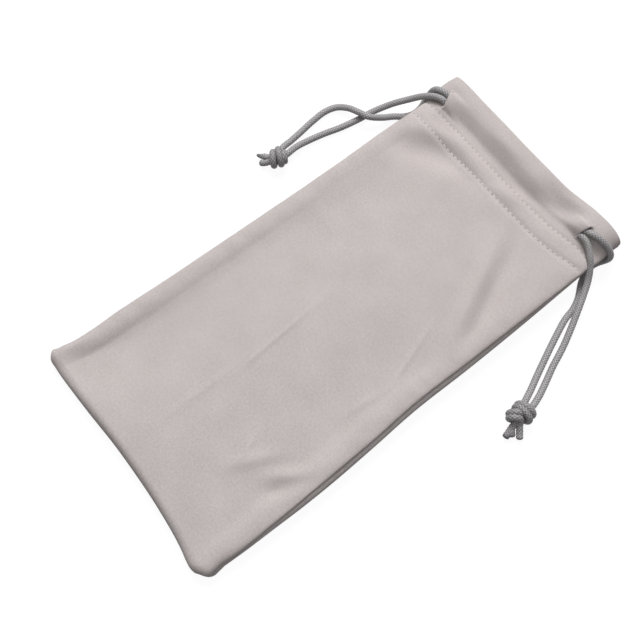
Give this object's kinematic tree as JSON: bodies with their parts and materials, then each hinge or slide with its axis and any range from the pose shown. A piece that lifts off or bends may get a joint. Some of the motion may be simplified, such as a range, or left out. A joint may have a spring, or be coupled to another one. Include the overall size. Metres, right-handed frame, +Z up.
{
  "type": "eyeglass pouch",
  "caption": "Flat soft cloth pouch for spectacles, closed by a folded end and sewn sides, with a hemmed mouth that knotted drawcords gather shut.",
  "frame": {"origin": "middle of the pouch's outline, on the surface that it lies on", "axes": "+X across the pouch to the right seam, +Y along it to the mouth, +Z up out of the front"},
  "size_m": [0.1365, 0.175, 0.0147],
  "materials": {
    "microfibre": "soft knitted microfibre, matt",
    "thread": "fine polyester sewing thread",
    "cord": "braided polyester drawcord"
  },
  "bodies": {
    "pouch": {"pouch_cloth": "microfibre", "front_hem": "microfibre", "back_hem": "microfibre", "upper_stitch_row": "thread", "lower_stitch_row": "thread", "right_seam_allowance": "microfibre", "right_seam_thread": "thread", "right_slit_upper_tack": "thread", "right_slit_lower_tack": "thread", "left_cord_in_casing": "cord", "right_cord_in_casing": "cord", "right_cord_lead": "cord", "right_cord_wrap": "cord"},
    "left_side": {"left_seam_allowance": "microfibre", "left_seam_thread": "thread", "left_slit_upper_tack": "thread", "left_slit_lower_tack": "thread", "left_cord_lead": "cord", "left_cord_wrap": "cord"},
    "left_cord_end": {"left_knot": "cord", "left_tail_1": "cord", "left_tail_2": "cord"},
    "right_cord_end": {"right_knot": "cord", "right_tail_1": "cord", "right_tail_2": "cord"}
  },
  "joints": [
    {"name": "mouth_gather", "type": "hinge", "parent": "pouch", "child": "left_side", "pos_m": [-0.03, -0.0875, 0.004], "axis": [0, 0, -1], "range_deg": [0, 12], "deforming": ["pouch_cloth", "front_hem", "back_hem", "upper_stitch_row", "lower_stitch_row", "left_cord_in_casing", "right_cord_in_casing"]},
    {"name": "left_cord_pull", "type": "slide", "parent": "left_side", "child": "left_cord_end", "axis": [-0.2651, -0.9642, 0], "range_m": [0, 0.0342], "deforming": ["left_cord_lead", "left_cord_wrap"]},
    {"name": "right_cord_pull", "type": "slide", "parent": "pouch", "child": "right_cord_end", "axis": [0.4109, -0.9117, 0], "range_m": [0, 0.0342], "deforming": ["right_cord_lead", "right_cord_wrap"]}
  ],
  "couplings": [
    {"joint": "left_cord_pull", "follows": "mouth_gather", "m_per_rad": 0.163},
    {"joint": "right_cord_pull", "follows": "mouth_gather", "m_per_rad": 0.163}
  ]
}
